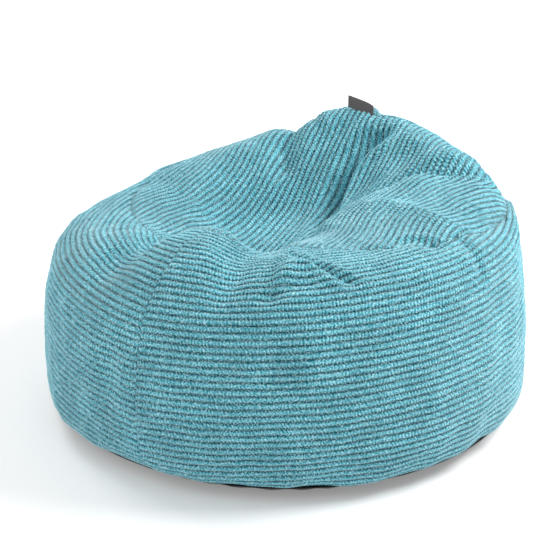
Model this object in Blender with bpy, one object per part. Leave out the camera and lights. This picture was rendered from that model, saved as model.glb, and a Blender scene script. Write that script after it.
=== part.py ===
"""A round bean bag chair: a washable ribbed cover over a lining sac of foam crumb, pressed into a seat.

The cover has a round top panel, two side panels, and two hard-wearing base panels with a zip between them.
The lining repeats those panels in thin cloth, with a zip of its own. Metres, +Z up, the floor at z = 0 and
the front of the seat at -Y. Both zips are closed, with their sliders at the +X end.
"""

import math

import bmesh
import bpy
import numpy as np

# Stations go round the bag from the front by the right: front, front right, right, back right, back,
# back left, left, front left. Each ring of the outer surface is (centre, radii, heights), and a single
# number holds all the way round. Between stations and between rings the surface is a smooth curve.
STATIONS = 8
FLAT_SHARE = 0.865
BASE_RADII = (0.452, 0.450, 0.462, 0.482, 0.462, 0.460, 0.468, 0.474)
BASE_SEAM_HEIGHT = 0.030
RINGS = (
    ((0, 0), tuple(FLAT_SHARE * radius for radius in BASE_RADII), 0),
    ((0, 0), BASE_RADII, BASE_SEAM_HEIGHT),
    (
        (0, 0),
        (0.482, 0.476, 0.488, 0.502, 0.490, 0.488, 0.490, 0.498),
        (0.075, 0.080, 0.080, 0.080, 0.085, 0.085, 0.080, 0.070),
    ),
    (
        (0, 0),
        (0.490, 0.486, 0.494, 0.500, 0.494, 0.496, 0.500, 0.498),
        (0.180, 0.170, 0.160, 0.160, 0.170, 0.180, 0.190, 0.190),
    ),
    (
        (0, 0),
        (0.480, 0.478, 0.484, 0.490, 0.486, 0.490, 0.494, 0.490),
        (0.290, 0.290, 0.290, 0.290, 0.310, 0.300, 0.280, 0.280),
    ),
    (
        (0, 0),
        (0.448, 0.452, 0.468, 0.480, 0.470, 0.472, 0.468, 0.464),
        (0.370, 0.380, 0.380, 0.370, 0.410, 0.375, 0.355, 0.360),
    ),
    (
        (0, 0),
        (0.350, 0.365, 0.440, 0.474, 0.448, 0.468, 0.430, 0.390),
        (0.450, 0.440, 0.425, 0.406, 0.485, 0.410, 0.384, 0.400),
    ),
    (
        (0, 0),
        (0.255, 0.240, 0.385, 0.460, 0.405, 0.450, 0.385, 0.265),
        (0.460, 0.436, 0.446, 0.432, 0.528, 0.436, 0.396, 0.396),
    ),
    (
        (0, 0.02),
        (0.205, 0.185, 0.285, 0.385, 0.335, 0.360, 0.270, 0.205),
        (0.430, 0.420, 0.462, 0.478, 0.512, 0.464, 0.378, 0.360),
    ),
    (
        (-0.02, 0.04),
        (0.150, 0.135, 0.190, 0.265, 0.245, 0.250, 0.190, 0.155),
        (0.375, 0.385, 0.452, 0.458, 0.440, 0.408, 0.340, 0.332),
    ),
    (
        (-0.05, 0.05),
        (0.085, 0.080, 0.115, 0.150, 0.150, 0.135, 0.105, 0.090),
        (0.322, 0.326, 0.378, 0.385, 0.350, 0.328, 0.314, 0.312),
    ),
)
BASE_SEAM_RING = 1
TOP_SEAM_RING = 7
SEAT_CENTRE = (-0.060, 0.050, 0.300)

# The hollows that a sitter's thighs leave over the front lip, each a line in plan.
THIGH_LINES = (
    ((0.030, -0.080), (0.150, -0.420)),
    ((-0.100, -0.080), (-0.150, -0.460)),
)
THIGH_DEPTH = 0.034
THIGH_HALF_WIDTH = 0.046
THIGH_STARTS_AT_RING = 4.6
THIGH_FULL_AT_RING = 6.0

# Layers, as depths below the outer surface.
COVER_THICKNESS = 0.005
BASE_THICKNESS = 0.002
LINING_DEPTH = 0.008
LINING_THICKNESS = 0.0015
FILL_DEPTH = 0.0130
FILL_CLEARS_ZIPS_BY = 0.006
SEAM_GAP = 0.0008  # between the edges of two panels

# The base lifts off the floor in an arch over the zip, so that nothing hard meets the floor.
ARCH_HEIGHT = 0.009
ARCH_FLAT_HALF_WIDTH = 0.020
ARCH_HALF_WIDTH = 0.060
ARCH_FLAT_HALF_LENGTH = 0.325
ARCH_HALF_LENGTH = 0.380

# Zips.
COVER_ZIP_HALF = 0.3125
LINING_ZIP_HALF = 0.1680
ZIP_SLOT_HALF_WIDTH = 0.0085
TAPE_INNER_EDGE = 0.0034
TAPE_OUTER_EDGE = 0.0165
TAPE_OVERHANG = 0.025
TAPE_THICKNESS = 0.0008
COIL_INNER_EDGE = 0.0008
COIL_OUTER_EDGE = 0.0031
COIL_HEIGHT = 0.0022
STOP_LENGTH = 0.004
STOP_HEIGHT = 0.0030
PIECE_GAP = 0.0005
SLIDER_LENGTH = 0.011
SLIDER_WIDTH = 0.0092
SLIDER_PLATE = 0.0012
SLIDER_POST = 0.0010
SLIDER_NOSE_SHARE = 0.62
LUG_LENGTH = 0.0050
LUG_WIDTH = 0.0022
LUG_HEIGHT = 0.0022
LUG_HOLE_RADIUS = 0.0007
TAPE_GAP = 0.0003

# Labels.
LABEL_STATION = 190.5  # degrees round from the front
LABEL_WIDTH = 0.056
LABEL_HEIGHT = 0.025
LABEL_THICKNESS = 0.0012
LABEL_GAP = 0.0006
CARE_LABEL_SIZE = (0.040, 0.065, 0.0004)
CARE_LABEL_AT = (0.255, -0.170, 0.0042)

# Mesh fineness.
COLUMNS = 40
SIDE_ROWS = 12
TOP_ROWS = 7

TEAL = (0.155, 0.430, 0.480)
BLACK = (0.012, 0.012, 0.014)
CHARCOAL = (0.085, 0.078, 0.080)
WHITE = (0.780, 0.790, 0.780)
FOAM = (0.620, 0.640, 0.600)
ENAMEL = (0.020, 0.020, 0.022)


def clear_scene():
    for obj in list(bpy.data.objects):
        bpy.data.objects.remove(obj, do_unlink=True)


def material(name, colour, roughness=0.9, metallic=0.0):
    made = bpy.data.materials.new(name)
    made.use_nodes = True
    shader = made.node_tree.nodes["Principled BSDF"]
    shader.inputs["Base Color"].default_value = (*colour, 1)
    shader.inputs["Roughness"].default_value = roughness
    shader.inputs["Metallic"].default_value = metallic
    return made


def spline(before, start, end, after, share):
    """The Catmull-Rom curve from start to end."""
    slope_in = (end - before) / 2
    slope_out = (after - start) / 2
    square = share * share
    cube = square * share
    return (
        (2 * cube - 3 * square + 1) * start
        + (cube - 2 * square + share) * slope_in
        + (3 * square - 2 * cube) * end
        + (cube - square) * slope_out
    )


def round_the_bag(values, angle):
    """A quantity given at the stations, read at any angle in radians."""
    values = np.broadcast_to(np.asarray(values, float), STATIONS)
    place = np.asarray(angle, float) / (2 * math.pi) * STATIONS
    first = np.floor(place).astype(int)
    near = [values[(first + step) % STATIONS] for step in (-1, 0, 1, 2)]
    return spline(*near, place - first)


def ring_points(ring, angle):
    (centre_x, centre_y), radii, heights = ring
    radius = round_the_bag(radii, angle)
    return np.stack(
        [
            centre_x + radius * np.sin(angle),
            centre_y - radius * np.cos(angle),
            round_the_bag(heights, angle),
        ],
        axis=-1,
    )


def smooth_step(value):
    value = np.clip(value, 0, 1)
    return value * value * (3 - 2 * value)


def thigh_dent(points, place):
    """How far the thigh hollows lower the surface at these points."""
    lowered = np.zeros(points.shape[:-1])
    for start, end in THIGH_LINES:
        run = np.subtract(end, start)
        across = np.array([-run[1], run[0]]) / np.hypot(*run)
        away = (points[..., :2] - np.array(start)) @ across
        lowered += THIGH_DEPTH * np.exp(-((away / THIGH_HALF_WIDTH) ** 2))
    ahead = smooth_step((THIGH_LINES[0][0][1] + 0.08 - points[..., 1]) / 0.16)
    rise = THIGH_FULL_AT_RING - THIGH_STARTS_AT_RING
    return lowered * ahead * smooth_step((place - THIGH_STARTS_AT_RING) / rise)


def surface(angle, place):
    """The outer surface, at an angle from the front and a place counted in rings from the base."""
    angle, place = np.broadcast_arrays(np.asarray(angle, float), np.asarray(place, float))
    rings = [ring_points(ring, angle) for ring in RINGS]
    centre = np.broadcast_to(np.array(SEAT_CENTRE), rings[0].shape)
    beyond = ring_points(RINGS[-1], angle + math.pi)
    rings = np.stack([*rings, centre, beyond])
    first = np.clip(np.floor(place).astype(int), 1, len(RINGS) - 1)
    index = np.indices(place.shape)
    near = [rings[(first + step, *index)] for step in (-1, 0, 1, 2)]
    points = spline(*near, (place - first)[..., None])
    points[..., 2] -= thigh_dent(points, place)
    return points


def inward(angle, place):
    """The unit direction into the bag, square to the outer surface."""
    step = 0.002
    along = surface(angle + step, place) - surface(angle - step, place)
    up = surface(angle, place + step) - surface(angle, place - step)
    out = np.cross(along, up)
    return -out / np.linalg.norm(out, axis=-1, keepdims=True)


def layer(angle, place, depth):
    angle, place = np.meshgrid(angle, place)
    return surface(angle, place) + depth * inward(angle, place)


def arch(x, y):
    """How far the arch over the zip is formed here, from 0 to 1."""
    across = (ARCH_HALF_WIDTH - np.abs(y)) / (ARCH_HALF_WIDTH - ARCH_FLAT_HALF_WIDTH)
    along = (ARCH_HALF_LENGTH - np.abs(x)) / (ARCH_HALF_LENGTH - ARCH_FLAT_HALF_LENGTH)
    return smooth_step(across) * smooth_step(along)


def base_height(x, y):
    """The underside of the bag."""
    out = np.hypot(x, y) / round_the_bag(BASE_RADII, np.arctan2(x, -y))
    share = np.clip((out - FLAT_SHARE) / (1 - FLAT_SHARE), 0, 2)
    return BASE_SEAM_HEIGHT * share**1.6 + ARCH_HEIGHT * arch(x, y)


def base_layer(x, y, depth):
    step = 0.0005
    slope_x = (base_height(x + step, y) - base_height(x - step, y)) / (2 * step)
    slope_y = (base_height(x, y + step) - base_height(x, y - step)) / (2 * step)
    up = np.stack([-slope_x, -slope_y, np.ones_like(slope_x)], axis=-1)
    up /= np.linalg.norm(up, axis=-1, keepdims=True)
    return np.stack([x, y, base_height(x, y)], axis=-1) + depth * up


def mesh_object(name, vertices, faces, look):
    """One object from points and faces, with points that coincide joined and its faces turned outwards."""
    mesh = bpy.data.meshes.new(name)
    mesh.from_pydata([tuple(map(float, v)) for v in vertices], [], faces)
    made = bpy.data.objects.new(name, mesh)
    bpy.context.scene.collection.objects.link(made)
    work = bmesh.new()
    work.from_mesh(mesh)
    bmesh.ops.remove_doubles(work, verts=work.verts, dist=1e-5)
    bmesh.ops.dissolve_degenerate(work, edges=work.edges, dist=1e-6)
    bmesh.ops.recalc_face_normals(work, faces=work.faces)
    work.to_mesh(mesh)
    work.free()
    mesh.shade_smooth()
    mesh.set_sharp_from_angle(angle=math.radians(40))
    mesh.materials.append(look)
    return made


def grid_faces(rows, columns, start, closed=False):
    last = columns if closed else columns - 1
    return [
        (
            start + row * columns + column,
            start + row * columns + (column + 1) % columns,
            start + (row + 1) * columns + (column + 1) % columns,
            start + (row + 1) * columns + column,
        )
        for row in range(rows - 1)
        for column in range(last)
    ]


def edge_loop(rows, columns):
    """The indices round the outside of an open grid."""
    first = [column for column in range(columns)]
    right = [row * columns + columns - 1 for row in range(1, rows)]
    last = [(rows - 1) * columns + column for column in range(columns - 2, -1, -1)]
    left = [row * columns for row in range(rows - 2, 0, -1)]
    return first + right + last + left


def sheet(name, outer, inner, look):
    """A closed body between two open grids of points."""
    rows, columns = outer.shape[:2]
    size = rows * columns
    faces = grid_faces(rows, columns, 0) + grid_faces(rows, columns, size)
    loop = edge_loop(rows, columns)
    for here, there in zip(loop, loop[1:] + loop[:1]):
        faces.append((here, there, there + size, here + size))
    vertices = np.concatenate([outer.reshape(-1, 3), inner.reshape(-1, 3)])
    return mesh_object(name, vertices, faces, look)


def disc(name, outer, inner, outer_pole, inner_pole, look):
    """A closed body between two grids that go all the way round and end in a middle point."""
    rows, columns = outer.shape[:2]
    size = rows * columns
    faces = grid_faces(rows, columns, 0, True) + grid_faces(rows, columns, size, True)
    last = (rows - 1) * columns
    for column in range(columns):
        after = (column + 1) % columns
        faces.append((column, after, after + size, column + size))
        faces.append((last + column, last + after, 2 * size))
        faces.append((size + last + column, size + last + after, 2 * size + 1))
    poles = [outer_pole, inner_pole]
    vertices = np.concatenate([outer.reshape(-1, 3), inner.reshape(-1, 3), poles])
    return mesh_object(name, vertices, faces, look)


def side_rows():
    gap = SEAM_GAP / 0.1 / 2
    return np.linspace(BASE_SEAM_RING + gap, TOP_SEAM_RING - gap, SIDE_ROWS)


def top_rows():
    gap = SEAM_GAP / 0.1 / 2
    return np.linspace(TOP_SEAM_RING + gap, len(RINGS) - 0.35, TOP_ROWS)


def half_angles(start):
    """The columns of one side panel, kept off the front and back seams by half a gap."""
    gap = SEAM_GAP / 2 / 0.25
    angles = start + np.linspace(0, math.pi, COLUMNS // 2 + 1)
    angles[0] += gap
    angles[-1] -= gap
    return angles


def side_panels(prefix, depth, thickness, look):
    for side, start in (("right", 0), ("left", math.pi)):
        outer = layer(half_angles(start), side_rows(), depth)
        inner = layer(half_angles(start), side_rows(), depth + thickness)
        sheet(f"{prefix}_side_{side}", outer, inner, look)


def top_panel(prefix, depth, thickness, look):
    angles = np.arange(COLUMNS) * 2 * math.pi / COLUMNS
    outer = layer(angles, top_rows(), depth)
    inner = layer(angles, top_rows(), depth + thickness)
    pole = np.array(SEAT_CENTRE)
    outer_pole = pole - (0, 0, depth)
    inner_pole = outer_pole - (0, 0, thickness)
    disc(f"{prefix}_top", outer, inner, outer_pole, inner_pole, look)


def base_points(sign, zip_half):
    """x and y of one base panel: columns along x, rows from the zip out to the base seam."""
    angles = np.linspace(-math.pi / 2, math.pi / 2, COLUMNS // 2 + 1)
    from_front = angles if sign < 0 else math.pi - angles
    radius = round_the_bag(BASE_RADII, from_front) - SEAM_GAP
    x = radius * np.sin(angles)
    edge = np.maximum(radius * np.cos(angles), SEAM_GAP)
    beside_zip = np.abs(x) <= zip_half + TAPE_OVERHANG
    inner = np.where(beside_zip, ZIP_SLOT_HALF_WIDTH, SEAM_GAP / 4)
    inner = np.minimum(inner, edge / 2)
    steps = (ARCH_FLAT_HALF_WIDTH, 0.033, 0.046, ARCH_HALF_WIDTH)
    shares = (0.10, 0.20, 0.30, 0.40)
    rows = [inner]
    rows += [np.maximum(np.minimum(s, edge * k), inner * (1 + k)) for s, k in zip(steps, shares)]
    for share in (0.30, 0.58, 0.76, 0.90, 1.0):
        rows.append(rows[len(steps)] * (1 - share) + edge * share)
    y = sign * np.array(rows)
    return np.broadcast_to(x, y.shape), y


def base_panels(prefix, depth, thickness, zip_half, look):
    for side, sign in (("front", -1), ("rear", 1)):
        x, y = base_points(sign, zip_half)
        outer = base_layer(x, y, depth)
        inner = base_layer(x, y, depth + thickness)
        sheet(f"{prefix}_base_{side}", outer, inner, look)


def fill_bottom(ring):
    """The underside of the fill as an open grid whose outline is the given ring of points."""
    quarter = COLUMNS // 4
    front = np.array([ring[i % COLUMNS] for i in range(-quarter, quarter + 1)])
    back = np.array([ring[(COLUMNS // 2 - i) % COLUMNS] for i in range(-quarter, quarter + 1)])
    halves = []
    for sign in (-1, 1):
        x, y = base_points(sign, 0)
        rows = base_layer(x, y, FILL_DEPTH + FILL_CLEARS_ZIPS_BY * arch(x, y)[..., None])
        halves.append(rows[1:-1])
    rows = np.concatenate([front[None], halves[0][::-1], halves[1], back[None]])
    rows[:, 0] = front[0]
    rows[:, -1] = front[-1]
    return rows


def foam_fill(look):
    """The heap of foam crumb, as one solid that fills the lining."""
    angles = np.arange(COLUMNS) * 2 * math.pi / COLUMNS
    rows = np.concatenate([side_rows(), top_rows()])
    shell = layer(angles, rows, FILL_DEPTH)
    bottom = fill_bottom(shell[0])
    count = shell.shape[0] * COLUMNS
    faces = grid_faces(shell.shape[0], COLUMNS, 0, True)
    faces += grid_faces(bottom.shape[0], bottom.shape[1], count)
    pole = count + bottom.shape[0] * bottom.shape[1]
    last = count - COLUMNS
    for column in range(COLUMNS):
        faces.append((last + column, last + (column + 1) % COLUMNS, pole))
    centre = [np.array(SEAT_CENTRE) - (0, 0, FILL_DEPTH)]
    vertices = np.concatenate([shell.reshape(-1, 3), bottom.reshape(-1, 3), centre])
    mesh_object("foam_fill", vertices, faces, look)


def box(name, low, high, look, bevel=0.0):
    corners = [
        (x, y, z) for x in (low[0], high[0]) for y in (low[1], high[1]) for z in (low[2], high[2])
    ]
    faces = [(0, 1, 3, 2), (4, 6, 7, 5), (0, 4, 5, 1), (2, 3, 7, 6), (0, 2, 6, 4), (1, 5, 7, 3)]
    made = mesh_object(name, corners, faces, look)
    if bevel:
        rounding = made.modifiers.new("rounding", "BEVEL")
        rounding.width = bevel
        rounding.segments = 2
    return made


def zip_slider(name, at_x, middle, look):
    """A slider with no pull tab: two plates joined by a post, and a lug with a hole for a hook to draw it."""
    opening = COIL_HEIGHT + 2 * PIECE_GAP
    half_plate = SLIDER_WIDTH / 2
    outline = (
        (half_plate, opening / 2 + SLIDER_PLATE),
        (half_plate, opening / 2),
        (SLIDER_POST / 2, opening / 2),
        (SLIDER_POST / 2, -opening / 2),
        (half_plate, -opening / 2),
        (half_plate, -opening / 2 - SLIDER_PLATE),
    )
    outline += tuple((-y, z) for y, z in reversed(outline))
    stations = ((0, SLIDER_NOSE_SHARE), (0.35, 1), (0.75, 1), (1, SLIDER_NOSE_SHARE))
    vertices = []
    for along, share in stations:
        x = SLIDER_LENGTH * (along - 0.5)
        for y, z in outline:
            wide = abs(y) > SLIDER_POST
            vertices.append((x, y * share if wide else y, z))
    size = len(outline)
    faces = grid_faces(len(stations), size, 0, True)
    faces.append(tuple(range(size)))
    faces.append(tuple(range(size * (len(stations) - 1), size * len(stations))))
    made = mesh_object(name, vertices, faces, look)
    made.location = (at_x, 0, middle)
    add_lug(made, -opening / 2 - SLIDER_PLATE, look)
    return made


def helper(obj):
    obj.hide_render = True
    obj.display_type = "WIRE"
    return obj


def add_lug(slider, plate_bottom, look):
    half = (LUG_LENGTH / 2, LUG_WIDTH / 2)
    bottom = plate_bottom - LUG_HEIGHT
    low = (-half[0], -half[1], bottom)
    high = (half[0], half[1], plate_bottom + SLIDER_PLATE / 2)
    lug = helper(box(f"{slider.name}_lug", low, high, look))
    hole_mesh = bpy.data.meshes.new(f"{slider.name}_hole")
    work = bmesh.new()
    bmesh.ops.create_cone(
        work,
        cap_ends=True,
        segments=12,
        radius1=LUG_HOLE_RADIUS,
        radius2=LUG_HOLE_RADIUS,
        depth=LUG_WIDTH * 2,
    )
    work.to_mesh(hole_mesh)
    work.free()
    hole = helper(bpy.data.objects.new(f"{slider.name}_hole", hole_mesh))
    bpy.context.scene.collection.objects.link(hole)
    hole.rotation_euler = (math.pi / 2, 0, 0)
    hole.location = (0, 0, bottom + LUG_HEIGHT / 2)
    for piece, operation in ((lug, "UNION"), (hole, "DIFFERENCE")):
        piece.parent = slider
        change = slider.modifiers.new(operation.lower(), "BOOLEAN")
        change.object = piece
        change.operation = operation


def zip_closure(prefix, half, lift, tape_look, coil_look, slider_look):
    """Tapes, coils, stops and slider. lift is the height of the inner face of the base panels at the zip."""
    tape_bottom = lift + TAPE_GAP
    middle = tape_bottom + TAPE_THICKNESS / 2
    coil_end = half - STOP_LENGTH - PIECE_GAP
    for side, sign in (("front", -1), ("rear", 1)):
        near, far = sorted((sign * TAPE_INNER_EDGE, sign * TAPE_OUTER_EDGE))
        low = (-half - TAPE_OVERHANG, near, tape_bottom)
        high = (half + TAPE_OVERHANG, far, tape_bottom + TAPE_THICKNESS)
        box(f"{prefix}_zip_tape_{side}", low, high, tape_look)
        near, far = sorted((sign * COIL_INNER_EDGE, sign * COIL_OUTER_EDGE))
        low = (-coil_end, near, middle - COIL_HEIGHT / 2)
        high = (coil_end, far, middle + COIL_HEIGHT / 2)
        box(f"{prefix}_zip_coil_{side}", low, high, coil_look, 0.0006)
        low = (half - STOP_LENGTH, near, middle - STOP_HEIGHT / 2)
        high = (half, far, middle + STOP_HEIGHT / 2)
        box(f"{prefix}_zip_top_stop_{side}", low, high, slider_look, 0.0004)
    low = (-half, -COIL_OUTER_EDGE, middle - STOP_HEIGHT / 2)
    high = (STOP_LENGTH - half, COIL_OUTER_EDGE, middle + STOP_HEIGHT / 2)
    box(f"{prefix}_zip_bottom_stop", low, high, slider_look, 0.0004)
    rest = coil_end - SLIDER_LENGTH / 2
    zip_slider(f"{prefix}_zip_slider", rest, middle, slider_look)


def woven_label(look):
    """A folded woven label that stands out of the top seam at the back."""
    seam_radius = np.hypot(*surface(math.radians(LABEL_STATION), TOP_SEAM_RING)[:2])
    half_angle = LABEL_WIDTH / 2 / seam_radius
    angles = math.radians(LABEL_STATION) + np.linspace(-half_angle, half_angle, 5)
    foot = surface(angles, TOP_SEAM_RING)
    out = np.stack([np.sin(angles), -np.cos(angles), np.zeros_like(angles)], axis=-1)
    lean = 0.20
    up = np.array([0, 0, 1]) + lean * out
    up /= np.linalg.norm(up, axis=-1, keepdims=True)
    heights = np.array([0.0, 0.35, 0.7, 1.0])[:, None, None]
    middle = foot + (LABEL_GAP + LABEL_THICKNESS * lean) * up + heights * LABEL_HEIGHT * up
    half = LABEL_THICKNESS / 2 * np.broadcast_to(out, middle.shape)
    sheet("woven_label", middle - half, middle + half, look)


def care_label(look):
    low = CARE_LABEL_AT
    high = tuple(start + size for start, size in zip(low, CARE_LABEL_SIZE))
    box("care_label", low, high, look)


def main():
    clear_scene()
    ribbed = material("teal_ribbed_fabric", TEAL)
    hard_wearing = material("black_base_fabric", BLACK)
    tape = material("black_zip_tape", BLACK)
    coil = material("black_zip_coil", BLACK, 0.45)
    label = material("charcoal_label", CHARCOAL, 0.7)
    lining = material("white_lining", WHITE)
    foam = material("foam_crumb", FOAM)
    enamel = material("zip_enamel", ENAMEL, 0.4)
    top_panel("cover", 0, COVER_THICKNESS, ribbed)
    side_panels("cover", 0, COVER_THICKNESS, ribbed)
    base_panels("cover", 0, BASE_THICKNESS, COVER_ZIP_HALF, hard_wearing)
    zip_closure("cover", COVER_ZIP_HALF, ARCH_HEIGHT + BASE_THICKNESS, tape, coil, enamel)
    woven_label(label)
    care_label(lining)
    top_panel("lining", LINING_DEPTH, LINING_THICKNESS, lining)
    side_panels("lining", LINING_DEPTH, LINING_THICKNESS, lining)
    base_panels("lining", LINING_DEPTH, LINING_THICKNESS, LINING_ZIP_HALF, lining)
    lining_lift = ARCH_HEIGHT + LINING_DEPTH + LINING_THICKNESS
    zip_closure("lining", LINING_ZIP_HALF, lining_lift, tape, coil, enamel)
    foam_fill(foam)


main()
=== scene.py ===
"""Looks of the bean bag chair: ribbed chenille, dark base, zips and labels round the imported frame."""

import math

import bmesh
import bpy
import numpy as np
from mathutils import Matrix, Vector
from mathutils.bvhtree import BVHTree


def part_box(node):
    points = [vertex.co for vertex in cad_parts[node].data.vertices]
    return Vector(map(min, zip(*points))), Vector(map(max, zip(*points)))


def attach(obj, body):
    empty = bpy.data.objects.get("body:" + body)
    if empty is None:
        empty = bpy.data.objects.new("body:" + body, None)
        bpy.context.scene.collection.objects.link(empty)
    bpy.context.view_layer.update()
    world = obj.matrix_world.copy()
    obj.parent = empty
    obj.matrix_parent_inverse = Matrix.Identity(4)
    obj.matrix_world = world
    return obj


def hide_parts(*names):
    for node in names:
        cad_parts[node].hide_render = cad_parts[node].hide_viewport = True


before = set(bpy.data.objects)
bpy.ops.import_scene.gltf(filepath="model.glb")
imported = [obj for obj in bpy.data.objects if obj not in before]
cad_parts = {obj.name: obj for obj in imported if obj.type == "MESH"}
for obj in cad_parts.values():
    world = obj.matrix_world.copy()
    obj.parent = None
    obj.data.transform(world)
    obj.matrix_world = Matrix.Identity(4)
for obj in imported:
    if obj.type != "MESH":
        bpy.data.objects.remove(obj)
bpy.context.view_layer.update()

# --- The outer surface, as in part.py: rings of (centre, radii, heights), every 45 degrees ---
STATIONS = 8
FLAT_SHARE = 0.865
BASE_RADII = (0.452, 0.450, 0.462, 0.482, 0.462, 0.460, 0.468, 0.474)
BASE_SEAM_HEIGHT = 0.030
RINGS = (
    ((0, 0), tuple(FLAT_SHARE * radius for radius in BASE_RADII), 0),
    ((0, 0), BASE_RADII, BASE_SEAM_HEIGHT),
    (
        (0, 0), (0.482, 0.476, 0.488, 0.502, 0.490, 0.488, 0.490, 0.498),
        (0.075, 0.080, 0.080, 0.080, 0.085, 0.085, 0.080, 0.070),
    ),
    (
        (0, 0), (0.490, 0.486, 0.494, 0.500, 0.494, 0.496, 0.500, 0.498),
        (0.180, 0.170, 0.160, 0.160, 0.170, 0.180, 0.190, 0.190),
    ),
    (
        (0, 0), (0.480, 0.478, 0.484, 0.490, 0.486, 0.490, 0.494, 0.490),
        (0.290, 0.290, 0.290, 0.290, 0.310, 0.300, 0.280, 0.280),
    ),
    (
        (0, 0), (0.448, 0.452, 0.468, 0.480, 0.470, 0.472, 0.468, 0.464),
        (0.370, 0.380, 0.380, 0.370, 0.410, 0.375, 0.355, 0.360),
    ),
    (
        (0, 0), (0.350, 0.365, 0.440, 0.474, 0.448, 0.468, 0.430, 0.390),
        (0.450, 0.440, 0.425, 0.406, 0.485, 0.410, 0.384, 0.400),
    ),
    (
        (0, 0), (0.255, 0.240, 0.385, 0.460, 0.405, 0.450, 0.385, 0.265),
        (0.460, 0.436, 0.446, 0.432, 0.528, 0.436, 0.396, 0.396),
    ),
    (
        (0, 0.02), (0.205, 0.185, 0.285, 0.385, 0.335, 0.360, 0.270, 0.205),
        (0.430, 0.420, 0.462, 0.478, 0.512, 0.464, 0.378, 0.360),
    ),
    (
        (-0.02, 0.04), (0.150, 0.135, 0.190, 0.265, 0.245, 0.250, 0.190, 0.155),
        (0.375, 0.385, 0.452, 0.458, 0.440, 0.408, 0.340, 0.332),
    ),
    (
        (-0.05, 0.05), (0.085, 0.080, 0.115, 0.150, 0.150, 0.135, 0.105, 0.090),
        (0.322, 0.326, 0.378, 0.385, 0.350, 0.328, 0.314, 0.312),
    ),
)
BASE_SEAM_RING = 1
TOP_SEAM_RING = 7
SEAT_CENTRE = (-0.060, 0.050, 0.300)
LAST_PLACE = len(RINGS) - 0.02
# Beside the label the top seam runs in front of the crest. The shift is in rings.
SEAM_SHIFT = 0.34
SEAM_SHIFT_AT = math.radians(187)
SEAM_SHIFT_WIDTH = math.radians(15)
SEAM_SHIFT_RINGS = 1.1
THIGH_START_BLEND = (0.08, 0.16)
THIGH_LINES = (
    ((0.030, -0.080), (0.150, -0.420)),
    ((-0.100, -0.080), (-0.150, -0.460)),
)
THIGH_DEPTH = 0.034
THIGH_HALF_WIDTH = 0.046
THIGH_STARTS_AT_RING = 4.6
THIGH_FULL_AT_RING = 6.0
ARCH_HEIGHT = 0.009
ARCH_FLAT_HALF_WIDTH = 0.020
ARCH_HALF_WIDTH = 0.060
ARCH_FLAT_HALF_LENGTH = 0.325
ARCH_HALF_LENGTH = 0.380

# --- The ribbed cloth: twisted cords, with saw-toothed grooves between them ---
RIB_PITCH = 0.0134
RIB_HEIGHT = 0.0048
RIB_SQUARENESS = 2.8
BEAD_PITCH = 0.0067
BEAD_SHARE = 0.28  # of a rib's height
GROOVE_BEAD_SHARE = 0.08
BEAD_SLANT = 0.75  # turns, from one side of a rib to the other
TOOTH_SHIFT = 0.19  # of the pitch, in the groove
TOOTH_SHARPNESS = 0.35
TOOTH_LOST_ON_RIB = 0.85
PHASES = 400
RIB_SAMPLES = 7
BAND_COLUMNS = 2600
BAND_ROWS = 170
TOP_SAMPLES = 700
HEM = 0.005
RIBS_RISE = 2.1  # how many ribs the rib lines climb from the sides to the front seam
LEFT_RIB_SHIFT = 0.45  # ribs, so that the ribs don't meet across the upright seams
# How far a seam presses the ribs down, as a share, and pulls the cloth in, and over what distance.
UPRIGHT_SEAM_PRESS = (0.12, 0.0025)
TOP_SEAM_PRESS = (0.35, 0.003)
UPRIGHT_SEAM_DIP = (0.0005, 0.003)
TOP_SEAM_DIP = (0.0030, 0.006)
BASE_SEAM_DIP = (0.002, 0.005)

# --- The map of the top: a grid of heights in plan, from which the top panel is laid out ---
MAP_STEP = 0.0025
MAP_X = np.arange(-0.475, 0.4751, MAP_STEP)
MAP_Y = np.arange(-0.345, 0.4751, MAP_STEP)
MAP_ANGLES = 720
MAP_RINGS = 130
MAP_STARTS_AT = TOP_SEAM_RING - 1.2
MIDDLE_RIB_X = -0.02
SEAM_HUB_Y = 0.1
TOP_REACH = 0.62

# --- The zips, as in part.py, and the layers, as depths below the cloth's outer surface ---
BASE_THICKNESS = 0.002
LINING_DEPTH = 0.013
LINING_THICKNESS = 0.0012
FILL_DEPTH = 0.017
LINING_BASE_DEPTH = 0.008
LINING_DEPTHS = (LINING_DEPTH, LINING_DEPTH + LINING_THICKNESS)
LINING_BASE_DEPTHS = (LINING_BASE_DEPTH, LINING_BASE_DEPTH + LINING_THICKNESS)
FILL_BASE_DEPTH = 0.013
FILL_CLEARS_ZIPS_BY = 0.006
SEAM_GAP = 0.0008
COVER_ZIP_HALF = 0.3125
LINING_ZIP_HALF = 0.1680
ZIP_SLOT_HALF_WIDTH = 0.0085
TAPE_INNER_EDGE = 0.0034
TAPE_OUTER_EDGE = 0.0165
TAPE_OVERHANG = 0.025
TAPE_THICKNESS = 0.0008
TAPE_GAP = 0.0003
COIL_INNER_EDGE = 0.0008
COIL_OUTER_EDGE = 0.0031
COIL_HEIGHT = 0.0022
COIL_PITCH = 0.0015
COIL_WIRE = 0.00026
COIL_POINTS = 12  # in a turn
STOP_LENGTH = 0.004
PIECE_GAP = 0.0005

# --- The labels ---
LABEL_WIDTH = 0.064
LABEL_HEIGHT = 0.026
LABEL_TURN = math.radians(1.2)
LABEL_ROLL = -0.13  # how much lower its end towards the right arm is
LABEL_LEAN = 0.20  # outwards
STAND_ROLL = 0.4  # of the roll, taken up by the way that the label stands
LABEL_FOOT_IN = 0.007
LABEL_FOOT_DOWN = 0.001
LABEL_SUNK = 0.003
LABEL_STRAIGHTNESS = 0.6
LABEL_COLUMNS = 57
LABEL_CLOTH = 0.00042
LABEL_GAP = 0.00028
LABEL_LOOSE = 0.0010
LABEL_BOW = 0.0018
CARE_CLOTH = 0.0003

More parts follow.
